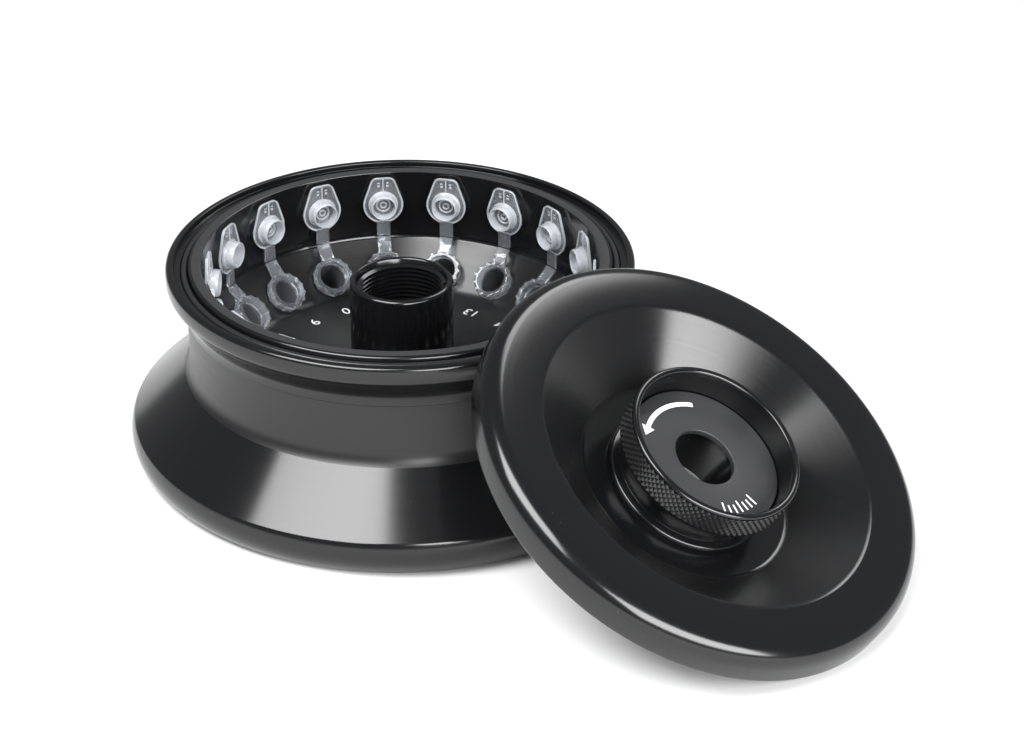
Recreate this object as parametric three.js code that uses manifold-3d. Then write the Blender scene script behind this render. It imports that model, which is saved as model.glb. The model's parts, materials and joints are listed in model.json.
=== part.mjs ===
// Fixed-angle rotor for eighteen microtubes, with its screw-down lid leaning against the rim.
// Millimetres, +Z up. The rotor stands on z = 0 and the lid rests on the same plane.

import * as THREE from "three";
import { mergeVertices } from "three/addons/utils/BufferGeometryUtils.js";
import Module from "manifold-3d";

const wasm = await Module();
wasm.setup();

// Driving dimensions.
const gap = 0.3; // clearance between pieces that touch on the real rotor
const places = 18; // tube places round the rotor
const pitch = (2 * Math.PI) / places;
const firstPlace = THREE.MathUtils.degToRad(15.3); // azimuth of the first place from +X
const rotorSides = 36;
const lidSides = 36;
const smallSides = 24;
const tubeSides = 10;

const rimZ = 66; // top of the rim above the table
const rimR = 75;
const lipR = 72.45; // inside of the rim's outer lip
const stepZ = rimZ - 2;
const sealR = [67.9, 70.35]; // groove of the seal
const sealZ = rimZ - 3.4;
const bowlR = 63.6; // bowl wall at the rim
const bowlFootR = 65.7; // bowl wall where the cone starts
const neckR = 68.8;
const skirtR = 88; // sharp upper edge of the skirt band
const skirtZ = 12.9;
const coneZ = -24.6; // the bowl cone follows z = r + coneZ
const floorZ = 26.9;
const floorR = 49; // flat floor inside the cone
const recessR = 76; // the underside recess follows z = recessR - r
const recessZ = 19;
const bossR = 23;
const bossZ = 6;
const pocketR = 16.3; // pocket of the taper bush
const pocketZ = 24.3;
const screwHoleR = 6;

const hubR = 16.75;
const hubZ = 57.7;
const threadR = 14; // thread in the mouth of the hub
const threadDepth = 12;
const hubBoreR = 11.5;

const pinR = 2;
const pinCircleR = 19.7;
const magnetR = 2.2;
const magnetCircleR = 80;
const magnetDepth = 2.5;

// Tube places: the mouth centre of each tube, and its lean.
const mouthR = 53.5;
const mouthZ = 34.7;
const tubeLean = Math.PI / 4;
const collarR = 6.9;
const collarH = 3.4;
const tubeR = 5.4;
const boreR = 4.45;
const tubeStraight = 27; // depth at which the taper starts
const tubeDepth = 39.6;
const wall = 1.1;
const hingeX = 11.67; // strap hinge from the tube's axis
const capOpen = THREE.MathUtils.degToRad(134);
const capR = 6.95;
const capT = 1.1;
const strapW = 4.6;
const strapT = 1.1;
const plugR = 3.95;
const plugDepth = 3;

// Lid: local frame with z = 0 on the flat annulus and +Z out of its upper face.
const lidR = 72.1;
const dishR = 54.4; // edge of the conical dish
const discR = 34.1; // flat disc at the bottom of the dish
const discZ = -16;
const lidUnderZ = -9.5;
const skirtLowZ = -11.6;
const discT = 2.4;
const lidTilt = THREE.MathUtils.degToRad(30.6);
const lidHeading = THREE.MathUtils.degToRad(-38.6); // the way the upper face looks, from +X
const lidCentre = [89.8, -92, 46.2]; // from the rotor's axis and the table
const lidHoleR = 14.2;
const clipR = [13.3, 17.2];

const knobBaseR = 25.5;
const knobBaseZ = [-15, -13.9];
const knobR = 27.9;
const knobTopZ = 5.2;
const knobFaceR = 24.4;
const knobFaceZ = -3;
const faceT = 2;
const knobHoleR = 9.7;
const stubR = 13.6;
const stubBoreR = 12;
const stubLowZ = -22.2;

// Materials, one per look.
const finish = (color, roughness, metalness) =>
  new THREE.MeshStandardMaterial({ color, roughness, metalness });
const blackAnodised = finish(0x1b1c1f, 0.34, 0.85);
const greyAnodised = finish(0x55575b, 0.5, 0.7);
const steel = finish(0xb8babd, 0.25, 1);
const brass = finish(0xb39a55, 0.35, 1);
const blackRubber = finish(0x121212, 0.8, 0);
const frostedPlastic = finish(0xe4e8ea, 0.35, 0);
const slipPlastic = finish(0xd9d6cc, 0.5, 0);

// The solid of a closed geometry, turned right side out when its faces look inwards.
function solidOf(geometry) {
  const bare = geometry.clone();
  bare.deleteAttribute("normal");
  bare.deleteAttribute("uv");
  const merged = mergeVertices(bare, 1e-4);
  const build = (triVerts) =>
    new wasm.Manifold(
      new wasm.Mesh({
        numProp: 3,
        vertProperties: new Float32Array(merged.attributes.position.array),
        triVerts,
      }),
    );
  const faces = new Uint32Array(merged.index.array);
  const solid = build(faces);
  return solid.volume() > 0 ? solid : build(faces.reverse());
}

function geometryOf(solid) {
  const mesh = solid.getMesh();
  const geometry = new THREE.BufferGeometry();
  geometry.setAttribute("position", new THREE.BufferAttribute(mesh.vertProperties, 3));
  geometry.setIndex(new THREE.BufferAttribute(mesh.triVerts, 1));
  geometry.computeVertexNormals();
  return geometry;
}

// Turns an outline of [r, z] points about +Z. An outline clear of the axis closes on itself.
// A lathe looks outwards only when its outline runs anticlockwise.
function turned(outline, sides) {
  const points = outline.map(([r, z]) => new THREE.Vector2(r, z));
  if (THREE.ShapeUtils.isClockWise(points)) points.reverse();
  if (points[0].x > 0 || points.at(-1).x > 0) points.push(points[0].clone());
  return new THREE.LatheGeometry(points, sides).rotateX(Math.PI / 2);
}

// Points of an arc in the [r, z] plane, angles in degrees from +r.
function arc(r, z, radius, from, to, steps) {
  return Array.from({ length: steps + 1 }, (_, i) => {
    const a = THREE.MathUtils.degToRad(from + ((to - from) * i) / steps);
    return [r + radius * Math.cos(a), z + radius * Math.sin(a)];
  });
}

function rod(radius, low, high, sides) {
  return turned([[0, low], [radius, low], [radius, high], [0, high]], sides);
}

function ring(inner, outer, low, high, sides) {
  return turned([[inner, low], [outer, low], [outer, high], [inner, high]], sides);
}

// A flat plate from a THREE.Shape, between two heights.
function plate(shape, low, high) {
  const options = { depth: high - low, bevelEnabled: false, curveSegments: 8 };
  return new THREE.ExtrudeGeometry(shape, options).translate(0, 0, low);
}

const object = new THREE.Group();
const rotor = new THREE.Group();
object.add(rotor);

function add(parent, name, geometry, material) {
  const mesh = new THREE.Mesh(geometry, material);
  mesh.name = name;
  parent.add(mesh);
  return mesh;
}

// A frame at each tube place: origin at the mouth, +Z out of the mouth, +X up and outwards.
function placeFrame(index) {
  const azimuth = firstPlace + index * pitch;
  const frame = new THREE.Group();
  frame.position.set(mouthR * Math.cos(azimuth), mouthR * Math.sin(azimuth), mouthZ);
  frame.rotation.set(0, -tubeLean, azimuth, "ZYX");
  return frame;
}

// Rotor body: rim with lip, step and seal groove, neck, skirt, underside, bore and bowl.
function rotorOutline() {
  return [
    [lipR, stepZ],
    [lipR, rimZ - 0.6],
    ...arc(rimR - 1.2, rimZ - 1.2, 1.2, 90, 0, 2),
    [rimR, rimZ - 5.6],
    [rimR - 2.6, rimZ - 8],
    [neckR, rimZ - 12.8],
    ...arc(neckR + 6.2, rimZ - 33.9, 6.2, 180, 225, 2),
    [skirtR, skirtZ],
    [skirtR + 0.6, skirtZ - 5],
    [skirtR - 0.6, 3],
    [skirtR - 4, 0],
    [recessR, 0],
    [recessR - recessZ, recessZ],
    [bossR, recessZ],
    [bossR, bossZ],
    [pocketR, bossZ],
    [pocketR, pocketZ],
    [screwHoleR, pocketZ],
    [screwHoleR, floorZ],
    [floorR, floorZ],
    [floorR + 3.4, floorR + 3.4 + coneZ],
    [bowlFootR - 1.5, bowlFootR - 1.5 + coneZ],
    [bowlFootR, bowlFootR + coneZ + 1.2],
    [bowlR, rimZ],
    [sealR[0], rimZ],
    [sealR[0], sealZ],
    [sealR[1], sealZ],
    [sealR[1], stepZ],
  ];
}

// The bore that takes a tube, in the frame of its place.
function tubeBore() {
  const fit = tubeR + 0.35;
  return turned(
    [
      [0, -1],
      [fit, -1],
      [fit, -tubeStraight - gap],
      [fit - 1.9, 2.6 - tubeDepth],
      [0, -tubeDepth - 0.6],
    ],
    tubeSides,
  );
}

function rotorBody() {
  let body = solidOf(turned(rotorOutline(), rotorSides).rotateZ(firstPlace));
  for (let i = 0; i < places; i++) {
    const frame = placeFrame(i);
    frame.updateMatrix();
    body = body.subtract(solidOf(tubeBore().applyMatrix4(frame.matrix)));
  }
  for (const side of [-1, 1]) {
    const pinHole = rod(pinR + gap, bossZ - 1, bossZ + 8, 10).translate(side * pinCircleR, 0, 0);
    const pocket = rod(magnetR + gap, -1, magnetDepth, 10).translate(0, side * magnetCircleR, 0);
    body = body.subtract(solidOf(pinHole)).subtract(solidOf(pocket));
  }
  return geometryOf(body);
}

add(rotor, "rotor_body", rotorBody(), blackAnodised);
add(
  rotor,
  "rim_seal",
  ring(sealR[0] + gap, sealR[1] - gap, sealZ + gap, rimZ - 0.3, rotorSides).rotateZ(firstPlace),
  blackRubber,
);

// Hub sleeve: a smooth cylinder with a threaded mouth.
add(
  rotor,
  "hub_sleeve",
  turned(
    [
      [hubBoreR, floorZ + gap],
      [hubR, floorZ + gap],
      ...arc(hubR - 1.2, hubZ - 1.2, 1.2, 0, 90, 2),
      [threadR + 0.8, hubZ],
      [threadR, hubZ - 0.8],
      [threadR, hubZ - threadDepth],
      [hubBoreR, hubZ - threadDepth - 2.5],
    ],
    smallSides,
  ),
  blackAnodised,
);

// Taper bush for the motor shaft, in the boss under the hub.
const bushTopZ = 21.8;
add(
  rotor,
  "drive_bush",
  ring(8, pocketR - gap, bossZ + gap, bushTopZ, smallSides),
  steel,
);

[-1, 1].forEach((side, i) => {
  const pin = rod(pinR, bossZ - 3, bossZ + 7.6, 10);
  add(rotor, `drive_pin_${i + 1}`, pin, steel).position.set(side * pinCircleR, 0, 0);
  const magnet = rod(magnetR, gap, magnetDepth - gap, 10);
  add(rotor, `id_magnet_${i + 1}`, magnet, steel).position.set(0, side * magnetCircleR, 0);
});

// Clamp screw inside the hub, on its washer, with a clip below the floor.
const shankR = 4;
const washerZ = [floorZ + gap, floorZ + 1.8];
const headZ = [washerZ[1] + gap, washerZ[1] + 9];
const headR = 8.5;
const socketR = 4.2;
function clampScrew() {
  const blank = turned(
    [
      [0, 10],
      [shankR, 10],
      [shankR, headZ[0]],
      [headR, headZ[0]],
      [headR, headZ[1]],
      [0, headZ[1]],
    ],
    16,
  );
  const socket = rod(socketR, headZ[1] - 5, headZ[1] + 1, 6);
  return geometryOf(solidOf(blank).subtract(solidOf(socket)));
}
add(rotor, "clamp_screw", clampScrew(), steel);
add(rotor, "clamp_washer", ring(shankR + gap, 10.3, ...washerZ, 16), steel);
add(rotor, "screw_clip", ring(shankR + gap, 7.4, bushTopZ + 0.5, bushTopZ + 1.6, 16), brass);

// A microtube with its collar and its half of the strap, in the frame of its place.
function tubeGeometry() {
  const shell = turned(
    [
      [0, -tubeDepth],
      [tubeR - 1.9, 3.2 - tubeDepth],
      [tubeR, -tubeStraight],
      [tubeR, -collarH],
      [collarR, -collarH],
      [collarR, 0],
      [boreR, 0],
      [boreR, -tubeStraight],
      [boreR - 1.9, 3.4 - tubeDepth],
      [0, wall - tubeDepth],
    ],
    tubeSides,
  );
  const strap = new THREE.BoxGeometry(hingeX - gap - 5.6, strapW, strapT);
  strap.translate((hingeX - gap + 5.6) / 2, 0, -gap - strapT / 2);
  return geometryOf(solidOf(shell).add(solidOf(strap)));
}

// The flip cap when shut: a plate with a thumb tab, a plug ring and its half of the strap.
// Its origin is the strap hinge, so the mouth's axis is at x = -hingeX.
function capGeometry() {
  const tabReach = 10.5;
  const tabHalf = 3.7;
  const outline = new THREE.Shape();
  outline.moveTo(-gap, strapW / 2);
  outline.lineTo(-gap, -strapW / 2);
  const edge = Math.asin(strapW / 2 / capR);
  // the tab's straight sides leave the disc where they touch it
  const tab = Math.atan2(tabHalf, tabReach) + Math.acos(capR / Math.hypot(tabHalf, tabReach));
  const turnPoints = (from, to, steps) => {
    for (let i = 0; i <= steps; i++) {
      const a = from + ((to - from) * i) / steps;
      outline.lineTo(-hingeX + capR * Math.cos(a), capR * Math.sin(a));
    }
  };
  turnPoints(-edge, -Math.PI + tab, 4);
  outline.lineTo(1 - hingeX - tabReach, -tabHalf);
  outline.lineTo(-hingeX - tabReach, 1.2 - tabHalf);
  outline.lineTo(-hingeX - tabReach, tabHalf - 1.2);
  outline.lineTo(1 - hingeX - tabReach, tabHalf);
  turnPoints(Math.PI - tab, edge, 4);
  const cover = plate(outline, gap, gap + capT);
  const plug = ring(plugR - 1, plugR, -plugDepth, gap + 0.5, tubeSides).translate(-hingeX, 0, 0);
  return geometryOf(solidOf(cover).add(solidOf(plug)));
}

const oneTube = tubeGeometry();
const oneCap = capGeometry();
for (let i = 0; i < places; i++) {
  const number = String(i + 1).padStart(2, "0");
  const frame = placeFrame(i);
  rotor.add(frame);
  add(frame, `tube_${number}`, oneTube, frostedPlastic);
  const cap = add(frame, `tube_cap_${number}`, oneCap, frostedPlastic);
  cap.position.x = hingeX;
  cap.rotation.y = capOpen;
}

// Lid plate: rounded edge, flat annulus, conical dish and flat disc, hollow below.
function lidOutline() {
  const underDiscZ = discZ - discT;
  return [
    [lidHoleR, discZ],
    [discR, discZ],
    [dishR - 0.8, -0.7],
    [dishR + 0.8, 0],
    ...arc(lidR - 5, -5, 5, 90, 0, 3),
    [lidR, skirtLowZ + 1],
    [lidR - 1, skirtLowZ],
    [lidR - 1.6, skirtLowZ],
    [lidR - 1.6, lidUnderZ],
    [dishR - 6, lidUnderZ],
    [discR - 1, underDiscZ],
    [clipR[1] + 0.6, underDiscZ],
    [clipR[1] + 0.6, underDiscZ + 1.1],
    [lidHoleR, underDiscZ + 1.1],
  ];
}

// Knob: rim, knurled band, waisted neck, base flange and threaded stub, open through the middle.
function knobOutline() {
  const faceSeatZ = knobFaceZ - faceT - gap;
  return [
    [knobFaceR + 0.3, faceSeatZ],
    [knobFaceR + 0.3, knobFaceZ],
    [knobFaceR + 1.1, knobTopZ - 0.9],
    ...arc(knobR - 1, knobTopZ - 1, 1, 120, 0, 3),
    [knobR, -4.2],
    [knobR - 1.4, -5.4],
    ...arc(27.5, -9.6, 5.2, 140, 215, 3),
    [knobBaseR, knobBaseZ[1]],
    [knobBaseR, knobBaseZ[0]],
    [stubR, knobBaseZ[0]],
    [stubR, stubLowZ],
    [stubBoreR, stubLowZ],
    [stubBoreR, faceSeatZ],
  ];
}

// The leaning frame of the lid: turned to its heading, then tilted about its own Y axis.
const lid = new THREE.Group();
lid.position.set(...lidCentre);
lid.rotation.set(0, lidTilt, lidHeading, "ZYX");
rotor.add(lid);

add(lid, "lid_plate", turned(lidOutline(), lidSides), blackAnodised);
add(lid, "knob", turned(knobOutline(), smallSides), blackAnodised);
add(
  lid,
  "knob_face",
  ring(knobHoleR, knobFaceR, knobFaceZ - faceT, knobFaceZ, smallSides),
  greyAnodised,
);
add(
  lid,
  "knob_washer",
  ring(stubR + 1.2, knobBaseR - 0.6, discZ + 0.2, knobBaseZ[0] - 0.2, smallSides),
  slipPlastic,
);
add(
  lid,
  "knob_clip",
  ring(stubR + gap, clipR[1], discZ - discT - 0.2, discZ - discT + 0.8, smallSides),
  brass,
);

// The frame's origin is the middle of the whole object's footprint, on the table.
object.updateMatrixWorld(true);
const box = new THREE.Box3().setFromObject(object, true);
rotor.position.set(-(box.min.x + box.max.x) / 2, -(box.min.y + box.max.y) / 2, -box.min.z);

export default object;
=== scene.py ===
import json
import math

import bmesh
import bpy
from mathutils import Matrix, Vector


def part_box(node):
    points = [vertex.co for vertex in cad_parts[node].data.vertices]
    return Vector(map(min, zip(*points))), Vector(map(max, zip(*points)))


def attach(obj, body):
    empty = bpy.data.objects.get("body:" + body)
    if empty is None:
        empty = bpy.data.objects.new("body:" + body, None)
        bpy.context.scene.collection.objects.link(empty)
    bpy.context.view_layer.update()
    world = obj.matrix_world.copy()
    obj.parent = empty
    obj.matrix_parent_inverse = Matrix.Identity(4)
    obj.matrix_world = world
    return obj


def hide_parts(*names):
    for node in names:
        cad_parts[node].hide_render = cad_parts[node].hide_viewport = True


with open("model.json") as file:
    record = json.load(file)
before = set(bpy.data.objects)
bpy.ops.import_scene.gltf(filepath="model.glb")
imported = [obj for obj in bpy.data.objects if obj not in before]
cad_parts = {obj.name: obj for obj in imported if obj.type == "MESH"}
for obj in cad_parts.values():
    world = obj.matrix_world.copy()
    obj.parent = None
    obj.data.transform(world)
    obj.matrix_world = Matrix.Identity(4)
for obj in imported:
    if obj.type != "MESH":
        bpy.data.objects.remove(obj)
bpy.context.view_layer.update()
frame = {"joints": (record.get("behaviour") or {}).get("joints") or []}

mm = 0.001


# ---- places, all read from the frame

def jointNamed(name):
    return next(j for j in frame["joints"] if j["name"] == name)


def placeMatrix(origin, side, out):
    # local Z along out, local Y along side
    across = side.cross(out)
    turn = Matrix((across, side, out)).transposed().to_4x4()
    return Matrix.Translation(origin) @ turn


def middleOf(node):
    low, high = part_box(node)
    return [(a + b) / 2 for a, b in zip(low, high)]


def tubePlace(index):
    # origin on the strap hinge, Z out of the mouth, X up and outwards
    number = f"{index + 1:02d}"
    hinge = jointNamed(f"cap_{number}_hinge")
    out = Vector(jointNamed(f"tube_{number}_lift")["axis"]).normalized()
    if out.z < 0:
        out.negate()
    side = -Vector(hinge["axis"]).normalized()
    return placeMatrix(Vector(hinge["pos_m"]), side, out)


hubMiddle = middleOf("hub_sleeve")
rotorPlace = Matrix.Translation((hubMiddle[0], hubMiddle[1], 0))
lidAxis = Vector(jointNamed("knob_turn")["axis"]).normalized()
lidPlace = placeMatrix(
    Vector(jointNamed("knob_turn")["pos_m"]),
    Vector((0, 0, 1)).cross(lidAxis).normalized(),
    lidAxis,
)
places = sum(1 for j in frame["joints"] if j["name"].startswith("tube_") and j["name"].endswith("_lift"))
tubePlaces = [tubePlace(i) for i in range(places)]
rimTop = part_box("rotor_body")[1][2]


# ---- mesh helpers

def wireOutline(outline, roundSegments):
    # outline holds (radius, height, rounding) in millimetres, on the XZ plane
    bm = bmesh.new()
    along = bm.verts.layers.float.new("along")
    corners = [bm.verts.new((r * mm, 0, z * mm)) for r, z, _ in outline]
    pairs = list(zip(corners, corners[1:]))
    closed = outline[0][0] > 0 or outline[-1][0] > 0
    if closed:
        pairs.append((corners[-1], corners[0]))
    for a, b in pairs:
        bm.edges.new((a, b))
    start = corners[0]
    ring = list(zip(corners, outline))
    for corner, (_, _, rounding) in ring:
        if rounding > 0:
            made = bmesh.ops.bevel(bm, geom=[corner], offset=rounding * mm, offset_type="OFFSET",
                                   segments=roundSegments, profile=0.5, affect="VERTICES", material=-1)
            if corner is start:
                start = made["verts"][0]
    # distance walked along the outline, kept for the grain
    walked, seen, spot = 0.0, {start}, start
    while True:
        ahead = [e.other_vert(spot) for e in spot.link_edges if e.other_vert(spot) not in seen]
        if not ahead:
            break
        walked += (ahead[0].co - spot.co).length
        spot = ahead[0]
        spot[along] = walked
        seen.add(spot)
    whole = walked + ((spot.co - start.co).length if closed else 0)
    return bm, whole


def spun(outline, steps=128, roundSegments=4):
    bm, whole = wireOutline(outline, roundSegments)
    bmesh.ops.spin(bm, geom=bm.verts[:] + bm.edges[:], cent=(0, 0, 0), axis=(0, 0, 1),
                   angle=2 * math.pi, steps=steps, use_merge=True)
    bmesh.ops.remove_doubles(bm, verts=bm.verts[:], dist=1e-6)
    bmesh.ops.recalc_face_normals(bm, faces=bm.faces[:])
    layGrain(bm, whole)
    return bm


def layGrain(bm, whole):
    # U runs round the axis, V along the outline in metres
    along = bm.verts.layers.float["along"]
    uv = bm.loops.layers.uv.new("grain")
    for face in bm.faces:
        middle = face.calc_center_median()
        home = math.atan2(middle.y, middle.x)
        values = [loop.vert[along] for loop in face.loops]
        wraps = max(values) - min(values) > whole / 2
        for loop, value in zip(face.loops, values):
            co = loop.vert.co
            angle = math.atan2(co.y, co.x) if co.xy.length > 1e-6 else home
            angle = home + (angle - home + math.pi) % (2 * math.pi) - math.pi
            loop[uv].uv = (angle / (2 * math.pi), value + (whole if wraps and value < whole / 2 else 0))


def meshFrom(bm, name, smoothAngle=32):
    mesh = bpy.data.meshes.new(name)
    bm.to_mesh(mesh)
    bm.free()
    mesh.shade_smooth()
    mesh.set_sharp_from_angle(angle=math.radians(smoothAngle))
    return mesh


def addPiece(name, mesh, place, materials, body, nodes=()):
    mesh.transform(place)
    for material in materials:
        mesh.materials.append(material)
    piece = bpy.data.objects.new(name, mesh)
    bpy.context.scene.collection.objects.link(piece)
    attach(piece, body)
    if nodes:
        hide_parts(*nodes)


def combined(mesh, others, operation, smoothAngle=32):
    # joins or cuts closed meshes, and gives back one mesh
    base = bpy.data.objects.new("base", mesh)
    bpy.context.scene.collection.objects.link(base)
    tools = []
    for other in others:
        tool = bpy.data.objects.new("tool", other)
        bpy.context.scene.collection.objects.link(tool)
        tools.append(tool)
        modifier = base.modifiers.new("combine", "BOOLEAN")
        modifier.object = tool
        modifier.operation = operation
        modifier.solver = "EXACT"
    evaluated = base.evaluated_get(bpy.context.evaluated_depsgraph_get())
    result = bpy.data.meshes.new_from_object(evaluated)
    for extra in [base] + tools:
        bpy.data.objects.remove(extra)
    result.shade_smooth()
    result.set_sharp_from_angle(angle=math.radians(smoothAngle))
    return result


def boxMesh(size, centre, bevel=0.0, segments=2):
    bm = bmesh.new()
    bmesh.ops.create_cube(bm, size=1)
    bmesh.ops.scale(bm, verts=bm.verts[:], vec=[s * mm for s in size])
    bmesh.ops.translate(bm, verts=bm.verts[:], vec=[c * mm for c in centre])
    if bevel:
        bmesh.ops.bevel(bm, geom=bm.edges[:], offset=bevel * mm, segments=segments, profile=0.5,
                        affect="EDGES", material=-1)
    return meshFrom(bm, "box", 40)


# ---- materials

def newMaterial(name):
    material = bpy.data.materials.new(name)
    material.use_nodes = True
    nodes = material.node_tree.nodes
    return material, nodes, material.node_tree.links, nodes["Principled BSDF"]


def turnedGrainGroup():
    # fine rings left by the lathe: U round the axis, V along the outline
    group = bpy.data.node_groups.new("turnedGrain", "ShaderNodeTree")
    face = group.interface
    face.new_socket("Rings per mm", in_out="INPUT", socket_type="NodeSocketFloat").default_value = 6
    face.new_socket("Height", in_out="OUTPUT", socket_type="NodeSocketFloat")
    face.new_socket("Streak", in_out="OUTPUT", socket_type="NodeSocketFloat")
    nodes, links = group.nodes, group.links
    entry = nodes.new("NodeGroupInput")
    leave = nodes.new("NodeGroupOutput")
    grain = nodes.new("ShaderNodeUVMap")
    grain.uv_map = "grain"
    split = nodes.new("ShaderNodeSeparateXYZ")
    links.new(grain.outputs["UV"], split.inputs[0])
    perMetre = nodes.new("ShaderNodeMath")
    perMetre.operation = "MULTIPLY"
    perMetre.inputs[1].default_value = 1000
    links.new(entry.outputs["Rings per mm"], perMetre.inputs[0])
    scaled = nodes.new("ShaderNodeMath")
    scaled.operation = "MULTIPLY"
    links.new(split.outputs["Y"], scaled.inputs[0])
    links.new(perMetre.outputs[0], scaled.inputs[1])
    rings = nodes.new("ShaderNodeTexNoise")
    rings.noise_dimensions = "1D"
    rings.inputs["Scale"].default_value = 1
    rings.inputs["Detail"].default_value = 3
    links.new(scaled.outputs[0], rings.inputs["W"])
    links.new(rings.outputs["Fac"], leave.inputs["Height"])
    broad = nodes.new("ShaderNodeTexNoise")
    broad.noise_dimensions = "1D"
    broad.inputs["Scale"].default_value = 900
    broad.inputs["Detail"].default_value = 2
    links.new(split.outputs["Y"], broad.inputs["W"])
    links.new(broad.outputs["Fac"], leave.inputs["Streak"])
    return group


def dustGroup():
    # a thin haze and a few specks of dust
    group = bpy.data.node_groups.new("softDust", "ShaderNodeTree")
    face = group.interface
    face.new_socket("Amount", in_out="INPUT", socket_type="NodeSocketFloat").default_value = 0.3
    face.new_socket("Mask", in_out="OUTPUT", socket_type="NodeSocketFloat")
    nodes, links = group.nodes, group.links
    entry = nodes.new("NodeGroupInput")
    leave = nodes.new("NodeGroupOutput")
    place = nodes.new("ShaderNodeTexCoord")
    haze = nodes.new("ShaderNodeTexNoise")
    haze.inputs["Scale"].default_value = 28
    haze.inputs["Detail"].default_value = 5
    links.new(place.outputs["Object"], haze.inputs["Vector"])
    specks = nodes.new("ShaderNodeTexVoronoi")
    specks.inputs["Scale"].default_value = 190
    links.new(place.outputs["Object"], specks.inputs["Vector"])
    near = nodes.new("ShaderNodeMapRange")
    near.inputs["From Min"].default_value = 0.05
    near.inputs["From Max"].default_value = 0.02
    links.new(specks.outputs["Distance"], near.inputs["Value"])
    some = nodes.new("ShaderNodeMapRange")
    some.inputs["From Min"].default_value = 0.5
    some.inputs["From Max"].default_value = 0.72
    some.inputs["To Max"].default_value = 0.5
    links.new(haze.outputs["Fac"], some.inputs["Value"])
    most = nodes.new("ShaderNodeMath")
    most.operation = "MULTIPLY"
    links.new(near.outputs["Result"], most.inputs[0])
    links.new(some.outputs["Result"], most.inputs[1])
    both = nodes.new("ShaderNodeMath")
    both.operation = "MULTIPLY"
    links.new(most.outputs[0], both.inputs[0])
    links.new(entry.outputs["Amount"], both.inputs[1])
    links.new(both.outputs[0], leave.inputs["Mask"])
    return group


turnedGrain = turnedGrainGroup()
softDust = dustGroup()


def anodised(name, look):
    material, nodes, links, shader = newMaterial(name)
    grain = nodes.new("ShaderNodeGroup")
    grain.node_tree = turnedGrain
    grain.inputs["Rings per mm"].default_value = look["rings"]
    dust = nodes.new("ShaderNodeGroup")
    dust.node_tree = softDust
    dust.inputs["Amount"].default_value = look["dust"]
    tint = nodes.new("ShaderNodeMix")
    tint.data_type = "RGBA"
    tint.inputs["A"].default_value = (*look["colour"], 1)
    tint.inputs["B"].default_value = (0.4, 0.4, 0.42, 1)
    links.new(dust.outputs["Mask"], tint.inputs["Factor"])
    links.new(tint.outputs["Result"], shader.inputs["Base Color"])
    rough = nodes.new("ShaderNodeMapRange")
    rough.inputs["To Min"].default_value = look["roughness"] - look["spread"]
    rough.inputs["To Max"].default_value = look["roughness"] + look["spread"]
    links.new(grain.outputs["Streak"], rough.inputs["Value"])
    links.new(rough.outputs["Result"], shader.inputs["Roughness"])
    bump = nodes.new("ShaderNodeBump")
    bump.inputs["Strength"].default_value = look["bump"]
    bump.inputs["Distance"].default_value = 0.00003
    links.new(grain.outputs["Height"], bump.inputs["Height"])
    links.new(bump.outputs["Normal"], shader.inputs["Normal"])
    shader.inputs["Metallic"].default_value = look["metallic"]
    shader.inputs["IOR"].default_value = look["ior"]
    shader.inputs["Anisotropic"].default_value = look["anisotropic"]
    shader.inputs["Anisotropic Rotation"].default_value = 0.25
    if look["anisotropic"] > 0:
        tangent = nodes.new("ShaderNodeTangent")
        tangent.direction_type = "UV_MAP"
        tangent.uv_map = "grain"
        links.new(tangent.outputs["Tangent"], shader.inputs["Tangent"])
    return material


# dyed oxide over aluminium: almost black, with a clear glassy skin
blackFinish = {"colour": (0.0035, 0.0036, 0.004), "roughness": 0.17, "spread": 0.02, "metallic": 0.0,
               "ior": 1.5, "anisotropic": 0.35, "rings": 5, "bump": 0.03, "dust": 0.35}
dishFinish = {"colour": (0.004, 0.0041, 0.0045), "roughness": 0.23, "spread": 0.03, "metallic": 0.0,
              "ior": 1.52, "anisotropic": 0.7, "rings": 5, "bump": 0.06, "dust": 0.3}
bowlFinish = {"colour": (0.006, 0.006, 0.0065), "roughness": 0.31, "spread": 0.06, "metallic": 0.0,
              "ior": 1.52, "anisotropic": 0.72, "rings": 3, "bump": 0.12, "dust": 0.25}
satinFinish = {"colour": (0.006, 0.006, 0.0065), "roughness": 0.36, "spread": 0.03, "metallic": 0.0,
               "ior": 1.5, "anisotropic": 0.3, "rings": 7, "bump": 0.06, "dust": 0.3}
greyFinish = {"colour": (0.022, 0.0222, 0.0235), "roughness": 0.44, "spread": 0.03, "metallic": 0.0,
              "ior": 1.5, "anisotropic": 0.2, "rings": 7, "bump": 0.08, "dust": 0.2}
cutFinish = {"colour": (0.006, 0.006, 0.0065), "roughness": 0.24, "spread": 0.02, "metallic": 0.0,
             "ior": 1.6, "anisotropic": 0.0, "rings": 5, "bump": 0.0, "dust": 0.2}
steelFinish = {"colour": (0.55, 0.56, 0.58), "roughness": 0.26, "spread": 0.05, "metallic": 1.0,
               "ior": 1.5, "anisotropic": 0.5, "rings": 4, "bump": 0.2, "dust": 0.1}
# a darker, rougher steel for the clamp screw, so that deep in the hub bore it gives only a dim reflection
screwFinish = {"colour": (0.12, 0.12, 0.125), "roughness": 0.48, "spread": 0.06, "metallic": 1.0,
               "ior": 1.5, "anisotropic": 0.3, "rings": 4, "bump": 0.2, "dust": 0.1}
bronzeFinish = {"colour": (0.5, 0.36, 0.16), "roughness": 0.3, "spread": 0.05, "metallic": 1.0,
                "ior": 1.5, "anisotropic": 0.2, "rings": 4, "bump": 0.2, "dust": 0.1}

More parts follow.
